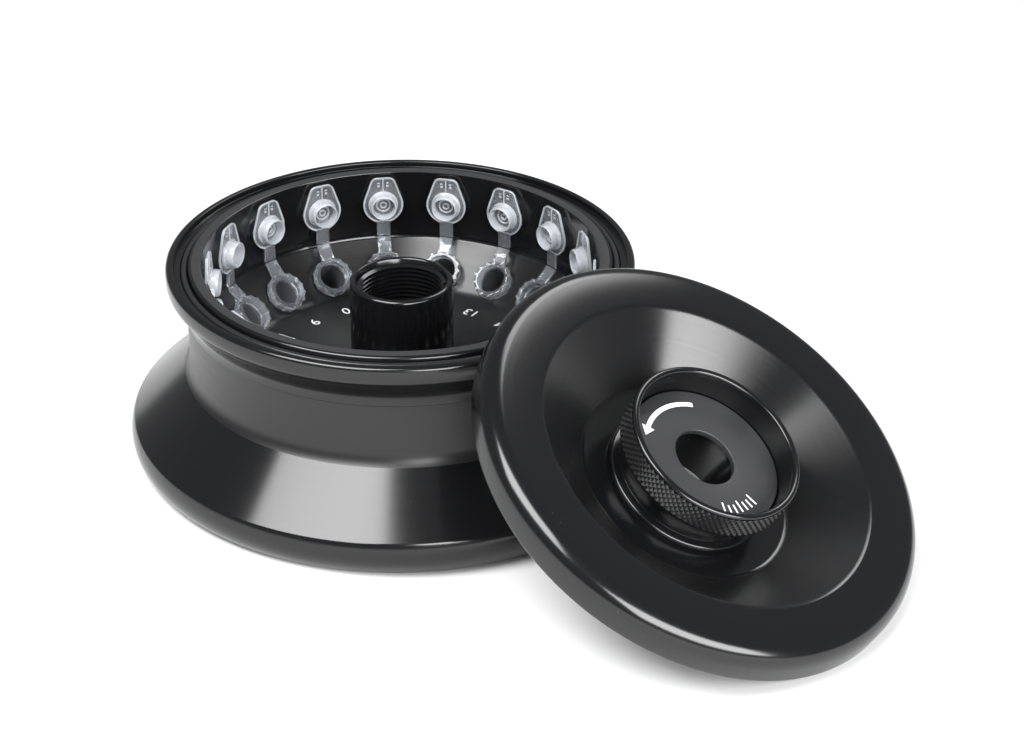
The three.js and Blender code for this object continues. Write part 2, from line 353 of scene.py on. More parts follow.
blackAnodised = anodised("blackAnodised", blackFinish)
dishAnodised = anodised("dishAnodised", dishFinish)
bowlAnodised = anodised("bowlAnodised", bowlFinish)
satinAnodised = anodised("satinAnodised", satinFinish)
greyAnodised = anodised("greyAnodised", greyFinish)
cutAnodised = anodised("cutAnodised", cutFinish)
groundSteel = anodised("groundSteel", steelFinish)
darkScrewSteel = anodised("darkScrewSteel", screwFinish)
springBronze = anodised("springBronze", bronzeFinish)


def softRubber():
    look = {"colour": (0.012, 0.012, 0.013), "roughness": 0.3, "spread": 0.08, "bump": 0.05}
    material, nodes, links, shader = newMaterial("softRubber")
    place = nodes.new("ShaderNodeTexCoord")
    pores = nodes.new("ShaderNodeTexNoise")
    pores.inputs["Scale"].default_value = 900
    links.new(place.outputs["Object"], pores.inputs["Vector"])
    rough = nodes.new("ShaderNodeMapRange")
    rough.inputs["To Min"].default_value = look["roughness"] - look["spread"]
    rough.inputs["To Max"].default_value = look["roughness"] + look["spread"]
    links.new(pores.outputs["Fac"], rough.inputs["Value"])
    links.new(rough.outputs["Result"], shader.inputs["Roughness"])
    bump = nodes.new("ShaderNodeBump")
    bump.inputs["Strength"].default_value = look["bump"]
    bump.inputs["Distance"].default_value = 0.00004
    links.new(pores.outputs["Fac"], bump.inputs["Height"])
    links.new(bump.outputs["Normal"], shader.inputs["Normal"])
    shader.inputs["Base Color"].default_value = (*look["colour"], 1)
    return material


def frostedPlastic(name, look):
    # moulded polypropylene: clear body with a frosted skin
    material, nodes, links, shader = newMaterial(name)
    place = nodes.new("ShaderNodeTexCoord")
    cloud = nodes.new("ShaderNodeTexNoise")
    cloud.inputs["Scale"].default_value = 160
    cloud.inputs["Detail"].default_value = 3
    links.new(place.outputs["Object"], cloud.inputs["Vector"])
    rough = nodes.new("ShaderNodeMapRange")
    rough.inputs["To Min"].default_value = look["roughness"] - 0.06
    rough.inputs["To Max"].default_value = look["roughness"] + 0.06
    links.new(cloud.outputs["Fac"], rough.inputs["Value"])
    links.new(rough.outputs["Result"], shader.inputs["Roughness"])
    tint = nodes.new("ShaderNodeMix")
    tint.data_type = "RGBA"
    tint.inputs["A"].default_value = (*look["colour"], 1)
    tint.inputs["B"].default_value = (*[min(1, c * 1.05) for c in look["colour"]], 1)
    links.new(cloud.outputs["Fac"], tint.inputs["Factor"])
    links.new(tint.outputs["Result"], shader.inputs["Base Color"])
    bump = nodes.new("ShaderNodeBump")
    bump.inputs["Strength"].default_value = 0.06
    bump.inputs["Distance"].default_value = 0.00005
    links.new(cloud.outputs["Fac"], bump.inputs["Height"])
    links.new(bump.outputs["Normal"], shader.inputs["Normal"])
    shader.inputs["Transmission Weight"].default_value = look["clear"]
    shader.inputs["IOR"].default_value = 1.49
    return material


rubber = softRubber()
# thin walls let the dark metal show through, and thick edges scatter more light
thinLook = {"colour": (0.82, 0.85, 0.9), "roughness": 0.13, "clear": 0.93}
ringLook = {"colour": (0.84, 0.87, 0.92), "roughness": 0.1, "clear": 0.94}
thickLook = {"colour": (0.84, 0.87, 0.91), "roughness": 0.16, "clear": 0.72}
washerLook = {"colour": (0.8, 0.77, 0.7), "roughness": 0.4, "clear": 0.0}
thinPlastic = frostedPlastic("thinPlastic", thinLook)
ringPlastic = frostedPlastic("ringPlastic", ringLook)
thickPlastic = frostedPlastic("thickPlastic", thickLook)
washerPlastic = frostedPlastic("washerPlastic", washerLook)


def printedWhite():
    material, nodes, links, shader = newMaterial("printedWhite")
    place = nodes.new("ShaderNodeTexCoord")
    ink = nodes.new("ShaderNodeTexNoise")
    ink.inputs["Scale"].default_value = 1400
    links.new(place.outputs["Object"], ink.inputs["Vector"])
    ramp = nodes.new("ShaderNodeMapRange")
    ramp.inputs["To Min"].default_value = 0.62
    ramp.inputs["To Max"].default_value = 0.9
    links.new(ink.outputs["Fac"], ramp.inputs["Value"])
    blend = nodes.new("ShaderNodeCombineColor")
    for channel in ("Red", "Green", "Blue"):
        links.new(ramp.outputs["Result"], blend.inputs[channel])
    links.new(blend.outputs["Color"], shader.inputs["Base Color"])
    shader.inputs["Roughness"].default_value = 0.5
    return material


whitePrint = printedWhite()
print("materials ready")


# ---- rotor

rotorSizes = {
    "rimR": 75.0, "lipR": 72.4, "bandH": 5.6, "neckR": 68.8, "neckTop": 54.0, "neckFoot": 31.1,
    "skirtR": 88.0, "skirtZ": 12.9, "recessR": 76.0, "recessZ": 19.0,
    "arcX": 79.03, "arcZ": 8.72, "arcR": 9.9, "arcStart": 25, "arcEnd": -61.7, "arcSteps": 14,
    "bossR": 23.0, "bossZ": 6.0, "bushR": 16.3, "bushZ": 24.3, "screwR": 6.0,
    "ledgeR": 67.9, "sealR": 70.35, "grooveDeep": 3.4, "stepDeep": 2,
    "bowlR": 63.6, "bowlFootR": 65.7, "bowlFootZ": 41.1, "floorZ": 26.9, "floorR": 51.5,
    "boreR": 5.75, "boreDepth": 40.2, "mouthToHinge": 11.67,
    "pinCircle": 19.7, "pinHoleR": 2.3, "magnetCircle": 80, "magnetHoleR": 2.5,
}


def skirtArc(s):
    # one even curve from below the sharp edge round to the foot
    start, end = math.radians(s["arcStart"]), math.radians(s["arcEnd"])
    steps = s["arcSteps"]
    turns = [start + (end - start) * i / steps for i in range(1, steps + 1)]
    points = [(s["arcR"] * math.cos(a) + s["arcX"], s["arcR"] * math.sin(a) + s["arcZ"], 0)
              for a in turns]
    return points[:-1] + [(points[-1][0], 0, 0.3)]


def rotorOutline(s):
    top = rimTop / mm
    return [
        (s["lipR"], top - s["stepDeep"], 0.2),
        (s["lipR"], top, 0.5),
        (s["rimR"], top, 1.4),
        (s["rimR"], top - s["bandH"], 1.6),
        (s["neckR"] + 0.25, s["neckTop"], 3.4),
        (s["neckR"] + 0.2, s["neckTop"] - 4.2, 0.05),
        (s["neckR"], s["neckTop"] - 4.4, 0.05),
        (s["neckR"], s["neckFoot"], 2.6),
        (s["skirtR"], s["skirtZ"], 0.35),
        *skirtArc(s),
        (s["recessR"], 0, 1.2),
        (s["recessR"] - s["recessZ"], s["recessZ"], 4.0),
        (s["bossR"], s["recessZ"], 2.0),
        (s["bossR"], s["bossZ"], 0.8),
        (s["bushR"], s["bossZ"], 0.3),
        (s["bushR"], s["bushZ"], 0.3),
        (s["screwR"], s["bushZ"], 0.2),
        (s["screwR"], s["floorZ"], 0.2),
        (s["floorR"], s["floorZ"], 1.6),
        (s["bowlFootR"], s["bowlFootZ"], 1.1),
        (s["bowlR"], top, 0.35),
        (s["ledgeR"], top, 1.1),
        (s["ledgeR"], top - s["grooveDeep"], 0.2),
        (s["sealR"], top - s["grooveDeep"], 0.2),
        (s["sealR"], top - s["stepDeep"], 0.2),
    ]


def tubeBore(s, place):
    # a bore with a small chamfer where it meets the bowl cone
    depth = s["boreDepth"]
    bore = spun([
        (0, 2, 0),
        (s["boreR"] + 1.8, 2, 0),
        (s["boreR"] + 1.8, -3.0, 0),
        (s["boreR"], -4.8, 0),
        (s["boreR"], -27.3, 0),
        (s["boreR"] - 2.3, 1.3 - depth, 0),
        (0, -depth, 0),
    ], steps=48)
    mesh = meshFrom(bore, "bore")
    mesh.transform(Matrix.Translation((-s["mouthToHinge"] * mm, 0, 0)))
    mesh.transform(place)
    return mesh


def pinHole(x, y, radius, low, high):
    hole = meshFrom(spun([(0, low, 0), (radius, low, 0), (radius, high, 0), (0, high, 0)], 32), "hole")
    hole.transform(Matrix.Translation((x * mm, y * mm, 0)))
    hole.transform(rotorPlace)
    return hole


def buildRotorBody(s):
    body = meshFrom(spun(rotorOutline(s), steps=180, roundSegments=4), "rotorBody")
    body.transform(rotorPlace)
    cutters = [tubeBore(s, place) for place in tubePlaces]
    cutters += [pinHole(side * s["pinCircle"], 0, s["pinHoleR"], 5, 14) for side in (-1, 1)]
    cutters += [pinHole(0, side * s["magnetCircle"], s["magnetHoleR"], -1, 2.5) for side in (-1, 1)]
    mesh = combined(body, cutters, "DIFFERENCE", 24)
    addPiece("rotorBody", mesh, Matrix(), [blackAnodised, satinAnodised, greyAnodised, bowlAnodised],
             "rotor", ["rotor_body"])
    centre = Vector((hubMiddle[0], hubMiddle[1]))
    for face in mesh.polygons:
        radius = (face.center.xy - centre).length / mm
        height = face.center.z / mm
        onNeck = abs(radius - s["neckR"]) < 0.6 and height < s["neckTop"] - 4.3
        atFillet = s["skirtZ"] < height < s["neckFoot"] + 1.5
        onFillet = atFillet and s["neckR"] - 0.1 < radius < s["neckR"] + 2
        if (onNeck and height > s["neckFoot"]) or onFillet:
            face.material_index = 1
        if s["bowlR"] < radius < s["ledgeR"] and abs(height - rimTop / mm) < 0.02:
            face.material_index = 2
        if radius < s["bowlFootR"] - 1 and s["floorZ"] - 0.1 < height < 41:
            face.material_index = 3


buildRotorBody(rotorSizes)
print("rotor body ready")

sealSizes = {"inner": 68.05, "outer": 70.2, "low": 62.8, "high": 64.7}


def buildSeal(s):
    middle = (s["inner"] + s["outer"]) / 2
    seal = spun([
        (s["inner"], s["low"], 0.3),
        (s["outer"], s["low"], 0.3),
        (s["outer"], s["high"] - 0.1, 0.8),
        (middle, s["high"], 0.1),
        (s["inner"], s["high"] - 0.1, 0.8),
    ], steps=180)
    addPiece("rimSeal", meshFrom(seal, "rimSeal", 60), rotorPlace, [rubber], "rotor", ["rim_seal"])


buildSeal(sealSizes)

hubSizes = {"outer": 16.75, "top": 57.7, "foot": 27.2, "threadR": 14.0, "crestR": 13.15, "pitch": 1.5,
            "turns": 8.5, "threadStart": 1.6, "threadDeep": 15.5, "stepDeep": 17, "boreR": 11.5}


def helixRidge(radius, crest, pitch, turns, top, steps=72):
    # a ridge of triangular section wound down from top; crest may be inside or outside radius
    bm = bmesh.new()
    half = 0.42 * pitch
    heights = (0, half, 2 * half)
    radii = (radius, crest, radius)
    section = [bm.verts.new((r * mm, 0, (top - h) * mm)) for r, h in zip(radii, heights)]
    bm.faces.new(section)
    count = int(steps * turns)
    bmesh.ops.spin(bm, geom=bm.verts[:] + bm.edges[:] + bm.faces[:], cent=(0, 0, 0), axis=(0, 0, 1),
                   dvec=(0, 0, -pitch * mm / steps), angle=2 * math.pi * turns, steps=count)
    bmesh.ops.recalc_face_normals(bm, faces=bm.faces[:])
    return meshFrom(bm, "ridge", 25)


def joinedMesh(meshes, name):
    bm = bmesh.new()
    for mesh in meshes:
        bm.from_mesh(mesh)
    joined = bpy.data.meshes.new(name)
    bm.to_mesh(joined)
    bm.free()
    joined.shade_smooth()
    joined.set_sharp_from_angle(angle=math.radians(30))
    return joined


def buildHub(s):
    sleeve = meshFrom(spun([
        (s["boreR"], s["foot"], 0.2),
        (s["outer"], s["foot"], 0.4),
        (s["outer"], s["top"], 1.3),
        (s["threadR"] + 0.9, s["top"], 0.6),
        (s["threadR"] + 0.2, s["top"] - 2.0, 0.3),
        (s["threadR"], s["top"] - s["threadDeep"], 0.2),
        (s["boreR"], s["top"] - s["stepDeep"], 0.2),
    ], steps=144), "sleeve")
    threadTop = s["top"] - s["threadStart"]
    thread = helixRidge(s["threadR"] + 0.3, s["crestR"], s["pitch"], s["turns"], threadTop)
    addPiece("hubSleeve", joinedMesh([sleeve, thread], "hubSleeve"), rotorPlace, [blackAnodised], "rotor",
             ["hub_sleeve"])


buildHub(hubSizes)


def placeNumbers():
    # place numbers, printed on the bowl floor with their tops towards the hub
    size = {"height": 5.7, "radius": 41.4, "lift": 0.02, "thick": 0.03, "shift": 4}
    meshes = []
    for index, place in enumerate(tubePlaces):
        number = (places - size["shift"] - index) % places + 1  # the numbers run clockwise
        curve = bpy.data.curves.new("number", "FONT")
        curve.body = str(number)
        curve.size = size["height"] * mm
        curve.align_x = "CENTER"
        curve.align_y = "CENTER"
        curve.extrude = size["thick"] * mm / 2
        text = bpy.data.objects.new("number", curve)
        bpy.context.scene.collection.objects.link(text)
        evaluated = text.evaluated_get(bpy.context.evaluated_depsgraph_get())
        mesh = bpy.data.meshes.new_from_object(evaluated)
        bpy.data.objects.remove(text)
        hinge = place.translation - rotorPlace.translation
        azimuth = math.atan2(hinge.y, hinge.x)
        mesh.transform(Matrix.Rotation(azimuth + math.pi / 2, 4, "Z"))
        spot = Vector((math.cos(azimuth), math.sin(azimuth), 0)) * size["radius"] * mm
        spot.z = (rotorSizes["floorZ"] + size["lift"] + size["thick"] / 2) * mm
        mesh.transform(Matrix.Translation(spot))
        meshes.append(mesh)
    addPiece("placeNumbers", joinedMesh(meshes, "placeNumbers"), rotorPlace, [whitePrint], "rotor")


placeNumbers()
print("hub and numbers ready")


# ---- drive parts under and inside the hub

def spunPiece(name, outline, place, material, body, node, steps=64):
    addPiece(name, meshFrom(spun(outline, steps), name), place, [material], body, [node])


def plainRing(inner, outer, low, high, edge):
    return [(inner, low, edge), (outer, low, edge), (outer, high, edge), (inner, high, edge)]


# outlines, and plain rings as inner and outer radius, low and high, and edge rounding
driveSizes = {
    "bush": [(8, 6.3, 0.5), (16, 6.3, 0.4), (16, 21.8, 0.4), (8, 21.8, 0.3)],
    "pin": [(0, 3, 0), (2, 3, 0.5), (2, 13.6, 0.3), (0, 13.6, 0)],
    "magnet": [(0, 0.3, 0), (2.2, 0.3, 0.2), (2.2, 2.2, 0.2), (0, 2.2, 0)],
    "washer": (4.3, 10.3, 27.2, 28.7, 0.25),
    "clip": (4.3, 7.4, 22.3, 23.4, 0.2),
}

spunPiece("driveBush", driveSizes["bush"], rotorPlace, groundSteel, "rotor", "drive_bush", 96)
spunPiece("clampWasher", plainRing(*driveSizes["washer"]), rotorPlace, groundSteel, "rotor",
          "clamp_washer")
spunPiece("screwClip", plainRing(*driveSizes["clip"]), rotorPlace, springBronze, "clamp_screw",
          "screw_clip")
for index, side in enumerate((-1, 1)):
    pinPlace = rotorPlace @ Matrix.Translation((side * rotorSizes["pinCircle"] * mm, 0, 0))
    spunPiece(f"drivePin{index + 1}", driveSizes["pin"], pinPlace, groundSteel, "rotor",
              f"drive_pin_{index + 1}", 32)
    magnetPlace = rotorPlace @ Matrix.Translation((0, side * rotorSizes["magnetCircle"] * mm, 0))
    spunPiece(f"idMagnet{index + 1}", driveSizes["magnet"], magnetPlace, groundSteel, "rotor",
              f"id_magnet_{index + 1}", 32)


def buildClampScrew():
    size = {"shank": 4.0, "head": 8.5, "low": 10.0, "seat": 29.0, "top": 37.7,
            "socket": 4.2, "deep": 5.0}
    screw = meshFrom(spun([
        (0, size["low"], 0),
        (size["shank"], size["low"], 0.8),
        (size["shank"], size["seat"], 0.2),
        (size["head"], size["seat"], 0.4),
        (size["head"], size["top"], 0.9),
        (0, size["top"], 0),
    ], steps=96), "screw")
    bm = bmesh.new()
    bmesh.ops.create_cone(bm, cap_ends=True, segments=6, radius1=size["socket"] * mm,
                          radius2=size["socket"] * mm, depth=2 * size["deep"] * mm)
    bmesh.ops.translate(bm, verts=bm.verts[:], vec=(0, 0, size["top"] * mm))
    socket = meshFrom(bm, "socket")
    mesh = combined(screw, [socket], "DIFFERENCE")
    addPiece("clampScrew", mesh, rotorPlace, [darkScrewSteel], "clamp_screw", ["clamp_screw"])


buildClampScrew()
print("drive parts ready")


# ---- microtubes and their flip caps, in a frame with its origin on the strap hinge

foldGap = 0.06  # half the gap between the two halves of a strap, at its fold line

tubeSizes = {
    "hingeX": 11.67, "collarR": 6.4, "ribOut": 0.3, "ribs": 14, "collarH": 3.3, "bodyR": 5.4,
    "mouthR": 4.7, "straight": 27.0, "length": 39.6, "strapFrom": 5.7, "strapW": 4.6,
    "strapT": 0.85, "toothRise": 0.09, "web": (1.7, 0.8, 1.7), "webOut": 7.0, "webSide": 1.8, "webZ": -0.82,
}


def buildTubeMesh(s):
    length = s["length"]
    steps = s["ribs"] * 10
    shell = spun([
        (0, -length, 0),
        (s["bodyR"] - 2.6, 0.9 - length, 1.0),
        (s["bodyR"], -s["straight"], 4.0),
        (s["bodyR"], -s["collarH"], 0.3),
        (s["collarR"], -s["collarH"], 0.2),
        (s["collarR"], -0.9, 0.1),
        (s["collarR"] - 0.1, 0, 0.3),
        (s["mouthR"] + 0.1, 0, 0.35),
        (s["mouthR"] - 0.02, -3.0, 0.3),
        (s["mouthR"] - 0.2, -s["straight"], 4.0),
        (s["bodyR"] - 3.3, 2.2 - length, 1.0),
        (0, 1.1 - length, 0),
    ], steps=steps, roundSegments=3)
    # three columns in ten on the collar stand out as a square tooth
    for vert in shell.verts:
        radius = vert.co.xy.length
        column = round(math.atan2(vert.co.y, vert.co.x) / (2 * math.pi) * steps) % 10
        onSide = -s["collarH"] * mm - 1e-6 < vert.co.z and radius > (s["collarR"] - 0.35) * mm
        if onSide and column in (4, 5, 6):
            vert.co.xy *= (radius + s["ribOut"] * mm) / radius
            if vert.co.z > -1.0 * mm:
                vert.co.z += s["toothRise"] * mm
    tube = meshFrom(shell, "tube", 35)
    tube.transform(Matrix.Translation((-s["hingeX"] * mm, 0, 0)))
    strapLength = s["hingeX"] - s["strapFrom"]
    strap = boxMesh((strapLength, s["strapW"], s["strapT"]),
                    (-foldGap - strapLength / 2, 0, -0.15 - s["strapT"] / 2), 0.2)
    webs = [boxMesh(s["web"], (-s["hingeX"] + s["webOut"], side * s["webSide"], s["webZ"]), 0.25)
            for side in (-1, 1)]
    return combined(tube, [strap] + webs, "UNION", 35)


capSizes = {
    "hingeX": 11.67, "plateR": 6.85, "tabReach": 10.1, "tabW": 7.5, "plateLow": 0.15, "plateT": 0.95,
    "tabRound": 1.6, "rim": 0.6, "sunk": 0.35, "plugR": 4.58, "plugWall": 0.85, "plugDepth": 2.9,
    "strapFrom": 5.9, "strapW": 4.6, "strapT": 0.85, "rings": (0.7, 2.0),
}


def capOutline(bm, s, height):
    # a disc whose sides run on straight and narrow to a blunt thumb tab
    reach = math.hypot(s["tabReach"], s["tabW"] / 2)
    corner = math.atan2(s["tabW"] / 2, s["tabReach"])
    leave = corner + math.acos(min(1, s["plateR"] / reach))
    turn = [leave + (2 * math.pi - 2 * leave) * i / 40 for i in range(41)]
    points = [(s["tabReach"], s["tabW"] / 2)]
    points += [(s["plateR"] * math.cos(a), s["plateR"] * math.sin(a)) for a in turn]
    points += [(s["tabReach"], -s["tabW"] / 2)]
    return [bm.verts.new(((-s["hingeX"] - x) * mm, y * mm, height * mm)) for x, y in points]


def buildCapMesh(s):
    bm = bmesh.new()
    outline = capOutline(bm, s, s["plateLow"])
    tips = [outline[0], outline[-1]]
    bm.faces.new(outline)
    bmesh.ops.bevel(bm, geom=tips, offset=s["tabRound"] * mm, segments=5, profile=0.5,
                    affect="VERTICES", material=-1)
    grown = bmesh.ops.extrude_face_region(bm, geom=bm.faces[:])
    top = [v for v in grown["geom"] if isinstance(v, bmesh.types.BMVert)]
    bmesh.ops.translate(bm, verts=top, vec=(0, 0, s["plateT"] * mm))
    bmesh.ops.recalc_face_normals(bm, faces=bm.faces[:])
    low = min(bm.faces, key=lambda f: f.calc_center_median().z + (0 if abs(f.normal.z) > 0.9 else 1))
    bmesh.ops.inset_region(bm, faces=[low], thickness=s["rim"] * mm, depth=0)
    bmesh.ops.translate(bm, verts=low.verts[:], vec=(0, 0, s["sunk"] * mm))
    sharp = [e for e in bm.edges if len(e.link_faces) == 2 and e.calc_face_angle(0) > 0.7]
    bmesh.ops.bevel(bm, geom=sharp, offset=0.12 * mm, segments=2, profile=0.5, affect="EDGES",
                    material=-1)
    plate = meshFrom(bm, "plate", 35)
    centre = Matrix.Translation((-s["hingeX"] * mm, 0, 0))
    outer, wall = s["plugR"], s["plugWall"]
    plug = meshFrom(spun([
        (outer - wall, s["plateLow"] + 0.6, 0),
        (outer - wall, -s["plugDepth"], 0.3),
        (outer - 0.25, -s["plugDepth"], 0.3),
        (outer, -s["plugDepth"] + 1.4, 0.6),
        (outer - 0.1, -0.3, 0.3),
        (outer + 0.5, 0.1, 0.15),
        (outer + 0.6, s["plateLow"] + 0.6, 0),
    ], steps=64), "plug", 40)
    rings = [
        meshFrom(spun([
            (r, 0.2, 0),
            (r + 0.15, -0.15, 0.1),
            (r + 0.45, -0.15, 0.1),
            (r + 0.6, 0.2 + 0.6, 0),
            (r, 0.2 + 0.6, 0),
        ], steps=40), "ring", 40)
        for r in s["rings"]
    ]
    for mesh in [plug] + rings:
        mesh.transform(centre)
    strapLength = s["hingeX"] - s["strapFrom"]
    strap = boxMesh((strapLength, s["strapW"], s["strapT"]),
                    (-foldGap - strapLength / 2, 0, s["plateLow"] + s["strapT"] / 2), 0.2)
    dimpleOutline = [(0, -0.02, 0), (0.9, -0.02, 0.15), (0.9, 0.4, 0), (0, 0.4, 0)]
    dimple = meshFrom(spun(dimpleOutline, 24), "dimple", 40)
    dimple.transform(Matrix.Translation((-3.4 * mm, 0, 0)))
    rib = boxMesh((5.6, 0.4, 0.6), (-s["hingeX"] - 7.0, 0, 0.4), 0.1)
    marks = [boxMesh((size, 0.9, 0.4), (-s["hingeX"] - 7.6 + dx, side * 1.5, 0.42), 0.1)
             for side in (-1, 1) for dx, size in ((-0.6, 0.4), (0.5, 0.7))]
    return combined(plate, [plug, strap, dimple, rib] + rings + marks, "UNION", 35)


def thinFaces(mesh, s):
    # the sunk floor, the flat back and the strap of the cap take the clearer plastic
    for face in mesh.polygons:
        flat = abs(face.normal.z) > 0.95
        atBack = face.center.z > (s["plateLow"] + s["plateT"] - 0.1) * mm
        atFloor = abs(face.center.z - (s["plateLow"] + s["sunk"]) * mm) < 0.06 * mm
        onStrap = face.center.x > (s["plateR"] - s["hingeX"] - 0.3) * mm
        face.material_index = 1 if onStrap or flat and (atBack or atFloor) else 0


def toothFaces(mesh, s):
    # teeth scatter most light, the collar ring less, and the strap and body are thin
    for face in mesh.polygons:
        distance = math.hypot(face.center.x / mm + s["hingeX"], face.center.y / mm)
        onCollar = face.center.z / mm > -s["collarH"] - 0.1 and distance > s["mouthR"] + 0.1
        onTooth = s["collarR"] - 0.02 < distance < s["collarR"] + s["ribOut"] + 0.1
        if onCollar and onTooth:
            face.material_index = 0
        elif onCollar and distance < s["collarR"]:
            face.material_index = 1
        else:
            face.material_index = 2


tubeMesh = buildTubeMesh(tubeSizes)
capMesh = buildCapMesh(capSizes)
thinFaces(capMesh, capSizes)
toothFaces(tubeMesh, tubeSizes)
for index, place in enumerate(tubePlaces):
    number = f"{index + 1:02d}"
    addPiece(f"tube{number}", tubeMesh.copy(), place, [thickPlastic, ringPlastic, thinPlastic],
             f"tube_{number}", [f"tube_{number}"])
    opened = Matrix.Rotation(math.radians(jointNamed(f"cap_{number}_hinge")["range_deg"][1]), 4, "Y")
    addPiece(f"tubeCap{number}", capMesh.copy(), place @ opened, [thickPlastic, thinPlastic],
             f"cap_{number}", [f"tube_cap_{number}"])
print("tubes and caps ready")


# ---- lid, in its own leaning frame

lidSizes = {"edgeR": 72.1, "dishR": 54.4, "discR": 34.1, "discZ": -16.0, "underZ": -9.5, "skirtZ": -11.6}


def buildLid(s):
    under = s["discZ"] - 2.4
    lid = spun([
        (14.2, s["discZ"], 0.2),
        (s["discR"], s["discZ"], 0.9),
        (s["dishR"], 0, 0.9),
        (s["edgeR"], 0, 5.4),
        (s["edgeR"], s["skirtZ"], 1.2),
        (s["edgeR"] - 1.7, s["skirtZ"], 0.4),
        (s["edgeR"] - 1.7, s["underZ"], 0.3),
        (s["dishR"] - 6, s["underZ"], 1.5),
        (s["discR"] - 1, under, 2.5),
        (17.8, under, 0.3),
        (17.8, under + 1.1, 0.1),
        (14.2, under + 1.1, 0.2),
    ], steps=180, roundSegments=6)
    mesh = meshFrom(lid, "lidPlate", 30)
    for face in mesh.polygons:
        slopes = 0.3 < math.hypot(*face.normal[:2]) < 0.9 and face.normal.z > 0
        face.material_index = 1 if slopes and math.hypot(*face.center[:2]) < s["dishR"] * mm else 0
    addPiece("lidPlate", mesh, lidPlace, [blackAnodised, dishAnodised], "lid", ["lid_plate"])


buildLid(lidSizes)

knobSizes = {
    "topZ": 5.2, "rimR": 27.7, "recessR": 24.6, "faceZ": -3.0, "faceT": 2.0, "knurlTop": 3.9,
    "knurlLow": -4.4, "knurlR": 27.9, "knurlDeep": 0.65, "around": 84, "rows": 4, "neckR": 22.4,
    "baseR": 25.5, "baseZ": -15.0, "stubR": 13.6, "stubZ": -22.2, "holeR": 9.7,
    "washer": (14.8, 24.3, -15.8, -15.2, 0.15), "clip": (13.9, 17.2, -18.6, -17.6, 0.2),
}


def knurlBand(s):
    # a lattice whose odd points are groove crossings; the even ones melt into diamonds that stand out
    bm = bmesh.new()
    rows = 2 * s["rows"]
    height = (s["knurlTop"] - s["knurlLow"]) / rows
    column = [bm.verts.new((s["knurlR"] * mm, 0, (s["knurlLow"] + height * i) * mm))
              for i in range(rows + 1)]
    for low, high in zip(column, column[1:]):
        bm.edges.new((low, high))
    steps = 2 * s["around"]
    bmesh.ops.spin(bm, geom=bm.verts[:] + bm.edges[:], cent=(0, 0, 0), axis=(0, 0, 1), angle=2 * math.pi,
                   steps=steps, use_merge=True)
    tips, crossings = [], set()
    for vert in bm.verts:
        turnIndex = round(math.atan2(vert.co.y, vert.co.x) / (2 * math.pi) * steps)
        rowIndex = round((vert.co.z / mm - s["knurlLow"]) / height)
        if (turnIndex + rowIndex) % 2 or rowIndex in (0, rows):
            vert.co.xy *= 1 - s["knurlDeep"] / s["knurlR"]
        else:
            tips.append(vert)
        if (turnIndex + rowIndex) % 2:
            crossings.add(vert)
    for cell in bm.faces[:]:
        ends = [vert for vert in cell.verts if vert in crossings]
        bmesh.utils.face_split(cell, ends[0], ends[1])
    bmesh.ops.dissolve_verts(bm, verts=tips, use_face_split=False, use_boundary_tear=False)
    bmesh.ops.recalc_face_normals(bm, faces=bm.faces[:])
    outwards = sum(face.normal.dot(face.calc_center_median() * Vector((1, 1, 0))) for face in bm.faces)
    if outwards < 0:
        bmesh.ops.reverse_faces(bm, faces=bm.faces[:])
    diamonds = [face for face in bm.faces if len(face.verts) == 4]
    bmesh.ops.poke(bm, faces=diamonds, offset=s["knurlDeep"] * mm, center_mode="MEAN",
                   use_relative_offset=False)
    rims = [e for e in bm.edges if e.is_boundary]
    grown = bmesh.ops.extrude_edge_only(bm, edges=rims)
    for vert in [g for g in grown["geom"] if isinstance(g, bmesh.types.BMVert)]:
        vert.co.xy *= (s["knurlR"] - 2.0) / s["knurlR"]
    bmesh.ops.recalc_face_normals(bm, faces=bm.faces[:])
    bm.loops.layers.uv.new("grain")
    for face in bm.faces:
        face.material_index = 1
    mesh = bpy.data.meshes.new("knurl")
    bm.to_mesh(mesh)
    bm.free()
    return mesh


def buildKnob(s):
    seat = s["faceZ"] - s["faceT"] - 0.3
    body = meshFrom(spun([
        (s["recessR"], seat, 0.1),
        (s["recessR"], s["faceZ"] - 0.1, 0.1),
        (s["recessR"] + 0.9, s["topZ"] - 0.6, 0.3),
        (s["recessR"] + 1.5, s["topZ"], 0.5),
        (s["rimR"], s["topZ"], 1.15),
        (s["rimR"], s["knurlTop"] + 0.2, 0.1),
        (s["rimR"] - 0.8, s["knurlTop"] - 0.1, 0.1),
        (s["rimR"] - 0.8, s["knurlLow"] + 0.1, 0.1),
        (s["rimR"] - 0.5, s["knurlLow"] - 0.5, 0.3),
        (s["neckR"] + 1.2, -6.6, 1.5),
        (s["neckR"], -9.6, 2.0),
        (s["neckR"] + 0.4, -13.7, 0.05),
        (s["baseR"], -13.9, 0.75),
        (s["baseR"], s["baseZ"], 0.2),
        (s["stubR"] - 0.6, s["baseZ"], 0.2),
        (s["stubR"] - 0.6, s["stubZ"], 0.4),
        (12.0, s["stubZ"], 0.4),
        (12.0, seat, 0.2),
    ], steps=144), "body", 30)
    thread = helixRidge(s["stubR"] - 0.9, s["stubR"], 1.5, 1.6, -19.0)
    knurl = knurlBand(s)
    joined = joinedMesh([body, thread], "knurledKnob")
    bm = bmesh.new()
    bm.from_mesh(joined)
    before = len(bm.faces)
    bm.from_mesh(knurl)
    bm.faces.ensure_lookup_table()
    for face in bm.faces[before:]:
        face.smooth = False
    bm.to_mesh(joined)
    bm.free()
    addPiece("knurledKnob", joined, lidPlace, [blackAnodised, cutAnodised], "knob", ["knob"])


buildKnob(knobSizes)


